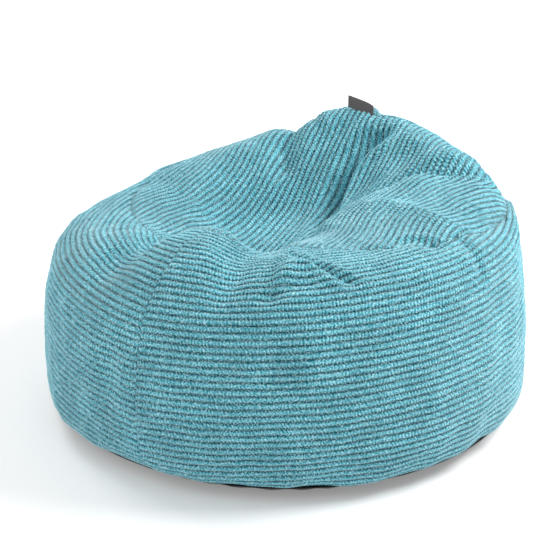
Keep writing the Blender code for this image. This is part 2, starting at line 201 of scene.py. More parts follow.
# --- The base, the lining and the filling ---
BASE_CURVE = 1.6
BASE_COLUMNS = 240
BASE_ROWS = 60
EVEN_ROWS = 0.45  # the rest crowd towards the zip
SLOT_END_BLEND = 0.012
PUCKERS = 52
PUCKER_HEIGHT = 0.0022
PUCKERS_START = 0.84  # shares of the way out to the base seam
PUCKERS_RISE = 0.10
PUCKERS_FADE = 0.03
LINING_MARGIN = 0.02  # rings, at each seam
LINING_SEAM_ANGLE = 0.0016
LINING_TAPE_LIFT = 0.0015
LAST_INNER_PLACE = len(RINGS) - 0.06
FILL_STARTS_AT = BASE_SEAM_RING + 0.35
FILL_COLUMNS = 420
FILL_EDGE = 0.93  # where the flat bottom turns up to the sides
CRUMB_HEIGHT = 0.0007
CRUMBS = ((0.013, 31), (0.011, 32))  # size, seed

# --- The relief of the zip tapes and the stitches beside the cover's zip ---
TAPE_COLUMNS = 900
TAPE_ROWS = 27
TAPE_RELIEF = 0.00010
TAPE_WAVE = (0.00010, 0.041)  # height, length
HERRINGBONE = (0.00007, 0.0022)
BONE_WIDTH = 0.0034
BONE_SLANT = 0.0017
TAPE_STITCH = (0.00012, 0.003)
TAPE_STITCHES_AT = 0.12
TAPE_STITCHES_HALF = 0.05
STITCH_LENGTH = 0.0030
STITCH_PITCH = 0.0045
STITCH_RADIUS = 0.00035
STITCH_FLATNESS = 0.7
STITCH_SUNK = 0.00005
STITCHES_FROM_SLOT = 0.0035
STITCHED_HALF = 0.322
STITCH_PROFILE = ((-0.5, 0.15), (-0.4, 0.75), (-0.15, 1.0), (0.15, 1.0), (0.4, 0.75), (0.5, 0.15))

# --- Folds and ridges: depth, half widths left and right, sharpness, then points near the surface in mm ---
# A ridge's depth is below 0. Left and right are as seen from outside the bag, going from point to point.
FOLDS = (
    # the deep valley behind the right arm, from the rim down into the seat
    (
        (0.040, 0.018, 0.036, 1.2),
        (350, 330, 420), (300, 312, 440), (240, 275, 440), (180, 232, 430),
        (120, 168, 420), (80, 100, 400), (60, 50, 380),
    ),
    # the far edge of the right arm, just in front of that valley
    (
        (-0.020, 0.045, 0.030, 2.0),
        (260, 225, 460), (205, 190, 470), (160, 142, 470), (125, 90, 460),
        (98, 40, 440), (80, -5, 420), (75, -40, 410),
    ),
    # between the two lobes of the backrest
    (
        (0.036, 0.015, 0.024, 1.1),
        (50, 380, 510), (12, 352, 490), (-18, 330, 460), (-30, 285, 420),
        (-31, 235, 380), (-15, 182, 355), (5, 115, 350), (12, 60, 340),
    ),
    # between the middle lobe and the left wing
    (
        (0.020, 0.022, 0.026, 1.2),
        (-255, 400, 440), (-212, 350, 470), (-195, 290, 420), (-160, 230, 360),
    ),
    # the crest of the middle lobe, just behind the top seam
    (
        (-0.017, 0.045, 0.040, 2.0),
        (-165, 345, 500), (-120, 385, 520), (-70, 408, 520), (-25, 410, 510),
    ),
    # the crest of the right lobe of the backrest
    (
        (-0.009, 0.030, 0.045, 2.0),
        (50, 355, 500), (110, 345, 500), (180, 325, 480), (245, 305, 460),
    ),
    # a thin raised pinch across the right arm
    (
        (-0.006, 0.012, 0.018, 1.6),
        (139, 44, 450), (216, 63, 460), (315, 47, 450), (401, 45, 440),
    ),
    # small tucks in the top seam on the right
    ((0.008, 0.010, 0.016, 1.3), (300, -85, 440), (335, -45, 450), (390, -35, 430)),
    ((0.006, 0.010, 0.014, 1.3), (385, 20, 450), (425, 0, 410), (460, -10, 360)),
    # the outer edge of the right thigh's hollow
    (
        (0.008, 0.016, 0.024, 1.4),
        (57, -74, 400), (111, -186, 430), (206, -341, 430), (243, -412, 420),
    ),
    # the rolled fold to the right of it: a valley, a ridge and a shallow valley
    (
        (0.015, 0.010, 0.012, 1.3),
        (140, -215, 435), (205, -243, 443), (244, -245, 438), (289, -253, 430),
        (345, -235, 415),
    ),
    (
        (-0.010, 0.014, 0.016, 1.8),
        (200, -350, 410), (212, -295, 445), (236, -268, 441), (275, -264, 432),
        (320, -254, 420),
    ),
    (
        (0.007, 0.011, 0.013, 1.4),
        (190, -375, 390), (223, -340, 414), (245, -315, 426), (275, -283, 427),
    ),
    # the soft upright valley beside the front seam
    ((0.006, 0.020, 0.026, 1.8), (-60, -480, 300), (-70, -490, 215), (-80, -480, 130)),
)
FOLD_POINTS = 14  # from one given point to the next
FOLD_REACH = 3.2  # half widths
FOLD_FADES = (0.18, 0.22)  # shares of its length, at its start and its end
SHOULDER = 0.22  # how far the cloth beside a valley swells, as a share of the depth
SHOULDER_AT = 1.9  # half widths from the path
SHOULDER_HALF_WIDTH = 0.8
NOISE_WAVES = 9
LUMPS = ((0.0032, 0.16, 3), (0.0016, 0.065, 4))  # height, size, seed

# --- Looks, in linear colours ---
CORD_COLOURS_WITH_GROOVE_SHADE = (  # from the bottom of a groove to the top of a rib: the cord's teal, darkened by painted shade down into the grooves and where the seams press the ribs down
    (0.0, (0.001, 0.032, 0.046)),
    (0.46, (0.003, 0.100, 0.138)),
    (0.76, (0.042, 0.350, 0.455)),
    (1.0, (0.150, 0.570, 0.680)),
)
BLACK = (0, 0, 0)
WHITE = (1, 1, 1)
# painted highlights: whitish specks on the tips of the tuft relief, which the same noise raises in the bump
TUFT_HIGHLIGHTS = (((0.47, BLACK), (0.64, WHITE)), 0.75, (0.50, 0.86, 0.93))
# painted shade: darker specks in the hollows of the tuft relief, where the same noise lowers the bump
TUFT_HOLLOW_SHADE = (((0.36, WHITE), (0.49, BLACK)), 0.55, (0.008, 0.14, 0.19))
COLOUR_DRIFT = ((0.35, (0.86, 0.88, 0.88)), (0.65, (1.10, 1.08, 1.07)))
SHEEN_TINT = (0.86, 0.96, 1.0)
WEAVES = {  # thread, gap between threads, threads per metre, roughness, sheen
    "black_base_weave": ((0.030, 0.030, 0.033), (0.006, 0.006, 0.007), 900, 0.85, 0.2),
    "lining_weave": ((0.80, 0.81, 0.79), (0.45, 0.46, 0.45), 1600, 0.85, 0.2),
    "foam_crumb_mix": ((0.70, 0.72, 0.66), (0.35, 0.40, 0.42), 160, 0.85, 0.2),
    "black_zip_weave": ((0.022, 0.022, 0.024), (0.004, 0.004, 0.005), 2400, 0.85, 0.2),
    "black_nylon": ((0.020, 0.020, 0.022), (0.010, 0.010, 0.011), 3000, 0.35, 0.0),
    "black_enamel": ((0.016, 0.016, 0.018), (0.012, 0.012, 0.013), 1200, 0.32, 0.0),
    "charcoal_ribbon": ((0.200, 0.176, 0.178), (0.085, 0.074, 0.076), 1300, 0.7, 0.2),
    "white_ribbon": ((0.85, 0.85, 0.83), (0.62, 0.62, 0.60), 2600, 0.5, 0.2),
}

# --- The view, the lamps and the floor ---
TARGET = Vector((-0.0177, -0.0124, 0.281))
AZIMUTH = math.radians(35)
ELEVATION = math.radians(22)
DISTANCE = 3.5
VIEW_WIDTH = 1.136
SENSOR_WIDTH = 36
LAMPS = (  # name, way to the right, way towards the camera, height, size, watts
    ("key", 2.3, 0.1, 1.9, 1.3, 80),
    ("fill", -1.8, 1.8, 1.2, 2.4, 17),
    ("back", -1.7, -1.3, 2.6, 1.2, 26),
)
WORLD_STRENGTH = 0.49
FLOOR_HALF = 8
FLOOR_HEIGHT = -0.0005
FLOOR_SHADE = (0.86, 0.86, 0.86)
FLOOR_GLOW = {"From Min": 0.7, "From Max": 2.4, "To Min": 0.22, "To Max": 0.70}  # by distance: painted light, the floor glows least beside the bag and most far off


def all_round(count):
    return np.arange(count) * math.tau / count


def xyz(x, y, z):
    return np.stack(np.broadcast_arrays(x, y, z), axis=-1)


def unit(vectors):
    return vectors / np.maximum(np.linalg.norm(vectors, axis=-1, keepdims=True), 1e-12)


def smooth_step(value):
    value = np.clip(value, 0, 1)
    return value * value * (3 - 2 * value)


def spline(before, start, end, after, share):
    """The Catmull-Rom curve from start to end."""
    slope_in = (end - before) / 2
    slope_out = (after - start) / 2
    square = share * share
    cube = square * share
    return (
        (2 * cube - 3 * square + 1) * start
        + (cube - 2 * square + share) * slope_in
        + (3 * square - 2 * cube) * end
        + (cube - square) * slope_out
    )


def round_the_bag(values, angle):
    values = np.broadcast_to(values, STATIONS)
    at = angle / math.tau * STATIONS
    first = np.floor(at).astype(int)
    near = [values[(first + step) % STATIONS] for step in (-1, 0, 1, 2)]
    return spline(*near, at - first)


def ring_points(ring, angle):
    (centre_x, centre_y), radii, heights = ring
    radius = round_the_bag(radii, angle)
    x = centre_x + radius * np.sin(angle)
    y = centre_y - radius * np.cos(angle)
    return xyz(x, y, round_the_bag(heights, angle))


def thigh_dent(points, place):
    lowered = np.zeros(points.shape[:-1])
    for start, end in THIGH_LINES:
        run = np.subtract(end, start)
        across = np.array([-run[1], run[0]]) / np.hypot(*run)
        away = (points[..., :2] - start) @ across
        lowered += THIGH_DEPTH * np.exp(-((away / THIGH_HALF_WIDTH) ** 2))
    early, length = THIGH_START_BLEND
    ahead = smooth_step((THIGH_LINES[0][0][1] + early - points[..., 1]) / length)
    rise = THIGH_FULL_AT_RING - THIGH_STARTS_AT_RING
    return lowered * ahead * smooth_step((place - THIGH_STARTS_AT_RING) / rise)


def shifted_places(angles, places):
    """Ring places moved so that the top seam runs in front of the crest beside the label."""
    from_label = (angles - SEAM_SHIFT_AT + math.pi) % math.tau - math.pi
    round_it = np.exp(-((from_label / SEAM_SHIFT_WIDTH) ** 2))
    down_it = np.exp(-(((places[:, None] - TOP_SEAM_RING) / SEAM_SHIFT_RINGS) ** 2))
    return places[:, None] + SEAM_SHIFT * round_it * down_it


def surface(angles, places):
    """The smooth outer surface on a grid of places (rows) by angles (columns)."""
    places = shifted_places(angles, places)
    column = np.arange(len(angles))
    centre = np.broadcast_to(SEAT_CENTRE, (len(angles), 3))
    rings = [ring_points(ring, angles) for ring in RINGS]
    rings = np.stack([*rings, centre, ring_points(RINGS[-1], angles + math.pi)])
    first = np.clip(np.floor(places).astype(int), 1, len(RINGS) - 1)
    near = [rings[first + step, column] for step in (-1, 0, 1, 2)]
    points = spline(*near, (places - first)[..., None])
    points[..., 2] -= thigh_dent(points, places)
    return points


def grid_normals(points):
    """Outward normals of a grid whose columns go all the way round."""
    along = np.roll(points, -1, axis=1) - np.roll(points, 1, axis=1)
    up = np.gradient(points, axis=0)
    return unit(np.cross(along, up))


def smooth_noise(points, size, seed):
    """A soft random field, from -1 to 1, made of a few waves of about this size."""
    source = np.random.default_rng(seed)
    total = np.zeros(points.shape[:-1])
    for _ in range(NOISE_WAVES):
        way = source.normal(size=3)
        way /= np.linalg.norm(way)
        wave = math.tau / (size * source.uniform(0.7, 1.5))
        total += np.sin(points @ way * wave + source.uniform(0, math.tau))
    return total / math.sqrt(NOISE_WAVES / 2) / 2


def fold_path(corners):
    """The corners joined by a smooth curve, a point every few millimetres."""
    padded = np.vstack([2 * corners[0] - corners[1], corners, 2 * corners[-1] - corners[-2]])
    share = np.linspace(0, 1, FOLD_POINTS, endpoint=False)[:, None]
    runs = [spline(*padded[i : i + 4], share) for i in range(len(corners) - 1)]
    return np.vstack([*runs, corners[-1:]])


def in_box(points, path, reach):
    """Which points are in the path's box, widened by this reach."""
    return np.all((points > path.min(axis=0) - reach) & (points < path.max(axis=0) + reach), axis=1)


def settled_paths():
    """Each fold's path, brought onto the smooth surface."""
    places = np.linspace(BASE_SEAM_RING, LAST_PLACE, 2 * MAP_RINGS)
    everywhere = surface(all_round(MAP_ANGLES), places).reshape(-1, 3)
    paths = []
    for _, *corners in FOLDS:
        path = fold_path(np.array(corners) / 1000)
        some = everywhere[in_box(everywhere, path, 0.08)]
        path = some[((some[None] - path[:, None]) ** 2).sum(axis=-1).argmin(axis=1)]
        for _ in range(6):
            path[1:-1] = (path[:-2] + 2 * path[1:-1] + path[2:]) / 4
        paths.append(path)
    return paths


def fold_depth(points, normals, sizes, path):
    """How far one fold pulls these points in."""
    depth, left, right, sharpness = sizes
    flat = points.reshape(-1, 3)
    touched = in_box(flat, path, FOLD_REACH * max(left, right))
    pulled = np.zeros(len(flat))
    if not touched.any():
        return pulled.reshape(points.shape[:-1])
    some = flat[touched]
    gaps = ((some[:, None, :] - path[None]) ** 2).sum(axis=-1)
    index = gaps.argmin(axis=1)
    away = some - path[index]
    ahead = np.gradient(path, axis=0)[index]
    side = np.einsum("ij,ij->i", np.cross(ahead, away), normals.reshape(-1, 3)[touched])
    distance = np.sqrt(gaps.min(axis=1))
    # the width changes gradually, so that the two sides meet without a step
    lean = side / np.maximum(np.linalg.norm(ahead, axis=-1) * np.maximum(distance, 1e-6), 1e-9)
    width = right + (left - right) * smooth_step(0.5 + 0.5 * np.clip(lean, -1, 1))
    share = index / (len(path) - 1)
    fade = smooth_step(share / FOLD_FADES[0]) * smooth_step((1 - share) / FOLD_FADES[1])
    ratio = distance / width
    profile = np.exp(-(ratio**sharpness))
    if depth > 0:
        profile -= SHOULDER * np.exp(-(((ratio - SHOULDER_AT) / SHOULDER_HALF_WIDTH) ** 2))
    pulled[touched] = depth * fade * profile
    return pulled.reshape(points.shape[:-1])


def shape(angles, places):
    """Points and normals of the surface with its lumps and folds. The angles go all the way round."""
    points = surface(angles, places)
    normals = grid_normals(points)
    lumps = sum(height * smooth_noise(points, size, seed) for height, size, seed in LUMPS)
    for (sizes, *_), path in zip(FOLDS, FOLD_PATHS):
        lumps = lumps - fold_depth(points, normals, sizes, path)
    points = points + normals * lumps[..., None]
    return points, grid_normals(points)


FOLD_PATHS = settled_paths()


def rope(along, ribs, seed):
    """Height, from 0 to 1, and sideways shift of twisted cords, at a length along and a number of ribs."""
    rib = np.floor(ribs + 1e-6).astype(int)
    across = ribs - rib - 0.5
    start = np.random.default_rng(seed).uniform(0, 1, PHASES)[rib % PHASES]
    turn = along / BEAD_PITCH + start + BEAD_SLANT * across
    bead = 0.5 + 0.5 * np.cos(math.tau * turn)
    body = 1 - np.abs(2 * across) ** RIB_SQUARENESS
    height = body * (1 - BEAD_SHARE + BEAD_SHARE * bead) + (1 - body) * GROOVE_BEAD_SHARE * bead
    groove = np.floor(ribs + 0.5 + 1e-6).astype(int)
    start = np.random.default_rng(seed + 50).uniform(0, 1, PHASES)[groove % PHASES]
    tooth = math.tau * (along / BEAD_PITCH + start)
    saw = np.sin(tooth) + TOOTH_SHARPNESS * np.sin(2 * tooth)
    return height, TOOTH_SHIFT * saw * (1 - TOOTH_LOST_ON_RIB * body)


def add(name, data, location=(0, 0, 0), turn_to=None):
    """An object in the scene, turned towards a point if one is given."""
    made = bpy.data.objects.new(name, data)
    made.location = location
    if turn_to is not None:
        made.rotation_euler = (turn_to - made.location).to_track_quat("-Z", "Y").to_euler()
    bpy.context.scene.collection.objects.link(made)
    return made


def make_mesh(name, points, faces, look, pile=None):
    """faces is an array of quads; a triangle repeats its last corner."""
    mesh = bpy.data.meshes.new(name)
    triangle = faces[:, 3] == faces[:, 2]
    sizes = 4 - triangle
    keep = np.ones(faces.shape, bool)
    keep[triangle, 3] = False
    corners = faces[keep]
    mesh.vertices.add(len(points))
    mesh.vertices.foreach_set("co", np.ascontiguousarray(points, np.float32).ravel())
    mesh.loops.add(len(corners))
    mesh.loops.foreach_set("vertex_index", corners.astype(np.int32))
    mesh.polygons.add(len(faces))
    mesh.polygons.foreach_set("loop_start", (np.cumsum(sizes) - sizes).astype(np.int32))
    mesh.update(calc_edges=True)
    mesh.validate()
    if pile is not None:
        layer = mesh.attributes.new("pile", "FLOAT", "POINT")
        layer.data.foreach_set("value", np.ascontiguousarray(pile, np.float32))
    mesh.shade_smooth()
    mesh.materials.append(look)
    return add(name, mesh)


def grid_quads(index):
    """Quads of a grid of vertex numbers. Equal numbers side by side are one vertex."""
    quads = np.stack([index[:-1, :-1], index[:-1, 1:], index[1:, 1:], index[1:, :-1]], axis=-1)
    quads = quads.reshape(-1, 4)
    a, b, c, d = quads.T
    whole = (a != b) & (b != c) & (c != d) & (d != a)
    no_left = (a == d) & (b != c)
    no_right = (b == c) & (a != d)
    return np.vstack([quads[whole], quads[no_left][:, [0, 1, 2, 2]], quads[no_right][:, [0, 1, 3, 3]]])


def round_index(rows, columns):
    """Vertex numbers of a grid whose last column is its first one again."""
    index = np.arange(rows * columns).reshape(rows, columns)
    return np.hstack([index, index[:, :1]])


def compact(points, faces, values):
    used, faces = np.unique(faces, return_inverse=True)
    return points[used], faces.reshape(-1, 4), values[used]


def ribbed(points, normals, height, shift, dip):
    """The surface with its ribs, and a hem: one more row and column on each side, turned into the bag."""
    sideways = unit(np.gradient(points, axis=0)) * (shift * RIB_PITCH)[..., None]
    points = points + normals * ((height - 1) * RIB_HEIGHT - dip)[..., None] + sideways
    points, normals = (np.pad(part, ((1, 1), (1, 1), (0, 0)), mode="edge") for part in (points, normals))
    pile = np.pad(height, 1, mode="edge")
    border = np.ones(pile.shape, bool)
    border[1:-1, 1:-1] = False
    points[border] -= HEM * normals[border]
    return points, pile


def along_rows(field, rows):
    """A cubic reading of a field at fractional row numbers, one for each place and column."""
    count = field.shape[0]
    first = np.clip(np.floor(rows).astype(int), 0, count - 2)
    share = rows - first
    columns = np.arange(field.shape[1])
    near = [field[np.clip(first + step, 0, count - 1), columns] for step in (-1, 0, 1, 2)]
    if field.ndim == 3:
        share = share[..., None]
    return spline(*near, share)


def arc_lengths(points, axis):
    steps = np.linalg.norm(np.diff(points, axis=axis), axis=-1)
    start = np.zeros_like(np.take(steps, [0], axis=axis))
    return np.concatenate([start, np.cumsum(steps, axis=axis)], axis=axis)


def beside(distance, effect):
    amount, reach = effect
    return amount * np.exp(-distance / reach)


def rib_offset(angles):
    """How many ribs lower the rib lines start here than beside the arms."""
    from_front = np.abs((angles + math.pi) % math.tau - math.pi)
    return RIBS_RISE * np.clip(1 - from_front / (math.pi / 2), 0, 1) ** 2


def band():
    """The whole side band on one grid, with each column's length and its first and last row."""
    angles = all_round(BAND_COLUMNS)
    places = np.linspace(BASE_SEAM_RING, TOP_SEAM_RING, BAND_ROWS)
    smooth = surface(angles, places)
    shaped, normals = shape(angles, places)
    height = arc_lengths(smooth, 0)
    length = height[-1]
    offset = rib_offset(angles)
    first_rib = offset.min()
    rib_end = length / RIB_PITCH + offset
    rows = int(np.ceil((rib_end.max() - first_rib) * RIB_SAMPLES)) + 1
    ribs = np.clip(first_rib + np.arange(rows)[:, None] / RIB_SAMPLES, offset, rib_end)
    distance_up = (ribs - offset) * RIB_PITCH
    in_rows = np.arange(BAND_ROWS)
    row_of = np.stack([np.interp(up, at, in_rows) for up, at in zip(distance_up.T, height.T)], axis=1)
    first_row = np.floor((offset - first_rib) * RIB_SAMPLES).astype(int)
    last_row = np.ceil((rib_end - first_rib) * RIB_SAMPLES).astype(int)
    points = along_rows(shaped, row_of)
    normals = unit(along_rows(normals, row_of))
    return points, normals, ribs, distance_up, length, first_row, last_row


def side_panel(name, grid, columns, rib_shift, seed, look):
    points, normals, ribs, distance_up, length, first_row, last_row = (
        part[:, columns] if part.ndim > 1 else part[columns] for part in grid
    )
    run = arc_lengths(points, 1)
    from_top = length - distance_up
    from_seam = np.minimum(run, run[:, -1:] - run)
    height, shift = rope(run, ribs + rib_shift, seed)
    flatten = 1 - beside(from_seam, UPRIGHT_SEAM_PRESS) - beside(from_top, TOP_SEAM_PRESS)
    height = height * np.clip(flatten, 0, 1)
    dip = beside(from_seam, UPRIGHT_SEAM_DIP) + beside(from_top, TOP_SEAM_DIP)
    dip += beside(distance_up, BASE_SEAM_DIP)
    points, pile = ribbed(points, normals, height, shift, dip)
    faces = grid_quads(trimmed_index(first_row, last_row, *pile.shape))
    points, faces, pile = compact(points.reshape(-1, 3), faces, pile.ravel())
    return make_mesh(name, points, faces, look, pile)


def trimmed_index(first_row, last_row, rows, width):
    """Vertex numbers of a hemmed grid whose columns start and end at rows of their own."""
    bottom = np.pad(first_row, 1, mode="edge") + 1
    top = np.pad(last_row, 1, mode="edge") + 1
    clipped = np.clip(np.arange(rows)[:, None], bottom, top)
    clipped[0] = 0
    clipped[-1] = rows - 1
    return clipped * width + np.arange(width)


def cast_down(points):
    """A map of the heights of a grid that goes all the way round, with a cap on its last row."""
    index = round_index(*points.shape[:2])
    faces = [*grid_quads(index).tolist(), index[-1, :-1].tolist()]
    tree = BVHTree.FromPolygons(points.reshape(-1, 3).tolist(), faces)
    heights = np.full((len(MAP_Y), len(MAP_X)), np.nan)
    down = Vector((0, 0, -1))
    for j, y in enumerate(MAP_Y):
        for i, x in enumerate(MAP_X):
            hit = tree.ray_cast(Vector((x, y, 1)), down)[0]
            if hit is not None:
                heights[j, i] = hit[2]
    return filled(heights)


def filled(heights):
    """Blank cells are filled along their row, then along their column."""
    for lines in (heights, heights.T):
        for line in lines:
            known = np.flatnonzero(~np.isnan(line))
            if len(known):
                line[:] = np.interp(np.arange(len(line)), known, line[known])
    return heights


def read_map(field, x, y):
    """A cubic reading of a map at any points."""
    at_x = (x - MAP_X[0]) / MAP_STEP
    at_y = (y - MAP_Y[0]) / MAP_STEP
    i = np.clip(np.floor(at_x).astype(int), 1, len(MAP_X) - 3)
    j = np.clip(np.floor(at_y).astype(int), 1, len(MAP_Y) - 3)
    lines = []
    for row in (-1, 0, 1, 2):
        near = [field[j + row, i + column] for column in (-1, 0, 1, 2)]
        lines.append(spline(*near, at_x - i))
    return spline(*lines, at_y - j)


def seam_outline():
    """The top seam in plan: angles and distances from a hub inside it."""
    seam = surface(all_round(2 * MAP_ANGLES), np.array([float(TOP_SEAM_RING)]))[0]
    angle = np.arctan2(seam[:, 0], -(seam[:, 1] - SEAM_HUB_Y))
    order = np.argsort(angle)
    return angle[order], np.hypot(seam[:, 0], seam[:, 1] - SEAM_HUB_Y)[order]


def outside(x, y, outline):
    """How far a point is outside the top seam, in plan. It is below 0 inside."""
    angle = np.arctan2(x, -(y - SEAM_HUB_Y))
    limit = np.interp(angle, *outline, period=math.tau)
    return np.hypot(x, y - SEAM_HUB_Y) - limit


def lengths_over(heights, axis):
    """Lengths over the ground along the lines of a map, from its first cells."""
    stretch = np.sqrt(1 + np.gradient(heights, MAP_STEP, axis=axis) ** 2)
    stretch = np.moveaxis(stretch, axis, 0)
    total = np.cumsum((stretch[1:] + stretch[:-1]) / 2 * MAP_STEP, axis=0)
    return np.moveaxis(np.pad(total, ((1, 0), (0, 0))), 0, axis)


def seam_crossing(line_x, outline, here, there):
    """The y at which a rib line crosses the top seam, between two cells of the map."""
    low, high = (outside(line_x[cell], MAP_Y[cell], outline) for cell in (here, there))
    return MAP_Y[here] + (MAP_Y[there] - MAP_Y[here]) * low / (low - high)


def top_lines(smooth, outline):
    """x, y and rib numbers along the rib lines, which keep their distance on the cloth."""
    span = lengths_over(smooth, 1)
    span -= np.array([np.interp(MIDDLE_RIB_X, MAP_X, row) for row in span])[:, None]
    count = int(TOP_REACH / RIB_PITCH) * RIB_SAMPLES
    ribs = np.arange(-count, count + 1) / RIB_SAMPLES
    lines = np.stack([np.interp(ribs * RIB_PITCH, row, MAP_X) for row in span], axis=1)
    inside = [np.flatnonzero(cells) for cells in outside(lines, MAP_Y, outline) < 0]
    kept = [n for n, cells in enumerate(inside) if len(cells) > 3]
    rows = []
    for n in kept:
        first, last = inside[n][[0, -1]]
        start = seam_crossing(lines[n], outline, first, first - 1)
        end = seam_crossing(lines[n], outline, last, last + 1)
        rows.append(np.linspace(start, end, TOP_SAMPLES))
    y = np.array(rows)
    x = np.array([np.interp(row, MAP_Y, lines[n]) for row, n in zip(rows, kept)])
    return x, y, ribs[kept][:, None] + np.zeros_like(x)


def top_panel(name, look):
    grid = (all_round(MAP_ANGLES), np.linspace(MAP_STARTS_AT, LAST_PLACE, MAP_RINGS))
    smooth, shaped = cast_down(surface(*grid)), cast_down(shape(*grid)[0])
    outline = seam_outline()
    x, y, ribs = top_lines(smooth, outline)
    points = xyz(x, y, read_map(shaped, x, y))
    slope_y, slope_x = (read_map(slope, x, y) for slope in np.gradient(shaped, MAP_STEP))
    normals = unit(xyz(-slope_x, -slope_y, 1))
    height, shift = rope(read_map(lengths_over(smooth, 0), x, y), ribs, 11)
    inside = np.maximum(-outside(x, y, outline), 0)
    flatten = np.clip(1 - beside(inside, TOP_SEAM_PRESS), 0, 1)
    dip = beside(inside, TOP_SEAM_DIP)
    points, pile = ribbed(points, normals, height * flatten, shift * flatten, dip)
    faces = grid_quads(np.arange(pile.size).reshape(pile.shape))[:, [0, 3, 2, 1]]
    return make_mesh(name, points.reshape(-1, 3), faces, look, pile.ravel())


# --- The base, the inner bag, the filling, the zips and the labels ---
def arch(x, y):
    """How far the arch over the zip is formed here, from 0 to 1."""
    across = (ARCH_HALF_WIDTH - np.abs(y)) / (ARCH_HALF_WIDTH - ARCH_FLAT_HALF_WIDTH)
    along = (ARCH_HALF_LENGTH - np.abs(x)) / (ARCH_HALF_LENGTH - ARCH_FLAT_HALF_LENGTH)
    return smooth_step(across) * smooth_step(along)


def base_height(x, y):
    out = np.hypot(x, y) / round_the_bag(BASE_RADII, np.arctan2(x, -y))
    share = np.clip((out - FLAT_SHARE) / (1 - FLAT_SHARE), 0, 2)
    return BASE_SEAM_HEIGHT * share**BASE_CURVE + ARCH_HEIGHT * arch(x, y)


def base_grid(sign, zip_half):
    """x and y of one base panel: columns along x, rows from the zip out to the base seam."""
    angles = np.linspace(-math.pi / 2, math.pi / 2, BASE_COLUMNS + 1)
    from_front = angles if sign < 0 else math.pi - angles
    radius = round_the_bag(BASE_RADII, from_front) - SEAM_GAP
    x = radius * np.sin(angles)
    edge = np.maximum(radius * np.cos(angles), SEAM_GAP)
    open_by = smooth_step((zip_half + TAPE_OVERHANG - np.abs(x)) / SLOT_END_BLEND + 1)
    inner = SEAM_GAP / 4 + (ZIP_SLOT_HALF_WIDTH - SEAM_GAP / 4) * open_by
    inner = np.minimum(inner, edge / 2)
    share = np.linspace(0, 1, BASE_ROWS + 1)[:, None]
    share = EVEN_ROWS * share + (1 - EVEN_ROWS) * share**2
    return np.broadcast_arrays(x, sign * (inner + (edge - inner) * share))


def raised(x, y, depth, creases):
    """Points of a layer over the underside, with puckers of this height gathered at the base seam."""
    step = 0.0005
    slope_x = (base_height(x + step, y) - base_height(x - step, y)) / (2 * step)
    slope_y = (base_height(x, y + step) - base_height(x, y - step)) / (2 * step)
    up = unit(xyz(-slope_x, -slope_y, 1))
    angle = np.arctan2(x, -y)
    out = np.hypot(x, y) / round_the_bag(BASE_RADII, angle)
    gathered = smooth_step((out - PUCKERS_START) / PUCKERS_RISE) * smooth_step((1.0 - out) / PUCKERS_FADE)
    wave = 0.5 + 0.5 * np.sin(PUCKERS * angle + 2.2 * np.sin(7 * angle) + 3 * np.sin(3 * angle))
    return xyz(x, y, base_height(x, y)) + (depth + creases * gathered * wave)[..., None] * up


def closed_sheet(name, outer, inner, look, around=False):
    """A closed body between two grids of points, whose columns may go all the way round."""
    rows, columns = outer.shape[:2]
    size = rows * columns
    index = round_index(rows, columns) if around else np.arange(size).reshape(rows, columns)
    faces = [grid_quads(index), grid_quads(index)[:, [0, 3, 2, 1]] + size]
    rims = [index[0], index[-1][::-1]]
    if not around:
        rims += [index[:, -1], index[:, 0][::-1]]
    for rim in rims:
        faces.append(np.stack([rim[:-1], rim[:-1] + size, rim[1:] + size, rim[1:]], axis=-1))
    points = np.vstack([outer.reshape(-1, 3), inner.reshape(-1, 3)])
    return make_mesh(name, points, np.vstack(faces), look)


def base_panel(name, sign, zip_half, depths, creases, look):
    x, y = base_grid(sign, zip_half)
    layers = [raised(x, y, depth, creases)[:, ::sign] for depth in depths]
    return closed_sheet(name, *layers, look)


def inner_side(name, start, look):
    angles = start + np.linspace(0, math.pi, 201)
    angles[[0, -1]] += np.array([LINING_SEAM_ANGLE, -LINING_SEAM_ANGLE])
    round_it = np.hstack([angles, angles[1:-1] + math.pi])
    places = np.linspace(BASE_SEAM_RING + LINING_MARGIN, TOP_SEAM_RING - LINING_MARGIN, 80)
    points, normals = (part[:, : len(angles)] for part in shape(round_it, places))
    layers = [points - depth * normals for depth in LINING_DEPTHS]
    return closed_sheet(name, *layers, look)


def inner_top(name, look):
    """The lining's top: two cupped layers that close in the middle of the seat."""
    places = np.linspace(TOP_SEAM_RING + LINING_MARGIN, LAST_INNER_PLACE, 90)
    points, normals = shape(all_round(360), places)
    layers = [closed_over(points - depth * normals) for depth in LINING_DEPTHS]
    made = closed_sheet(name, *layers, look, around=True)
    weld(made)
    return made


def closed_over(grid):
    """The grid with one more row, in which all points are the middle of its last one."""
    pole = grid[-1].mean(axis=0)
    return np.vstack([grid, np.broadcast_to(pole, (1, *grid.shape[1:]))])


def weld(obj, distance=1e-6):
    """Points that coincide become one, and faces with no area go."""
    work = bmesh.new()
    work.from_mesh(obj.data)
    bmesh.ops.remove_doubles(work, verts=work.verts, dist=distance)
    bmesh.ops.dissolve_degenerate(work, edges=work.edges, dist=distance)
    bmesh.ops.recalc_face_normals(work, faces=work.faces)
    work.to_mesh(obj.data)
    work.free()


def foam_bottom(rim):
    """The underside of the filling, from its middle out to this rim."""
    share = np.linspace(0, 1, 60)[:, None]
    x = rim[:, 0] * share
    y = rim[:, 1] * share
    lift = FILL_BASE_DEPTH + FILL_CLEARS_ZIPS_BY * arch(x, y)
    bottom = xyz(x, y, base_height(x, y) + lift)
    blend = smooth_step((share - FILL_EDGE) / (1 - FILL_EDGE))[..., None]
    bottom[..., 2:] = bottom[..., 2:] * (1 - blend) + rim[:, 2:] * blend
    return bottom


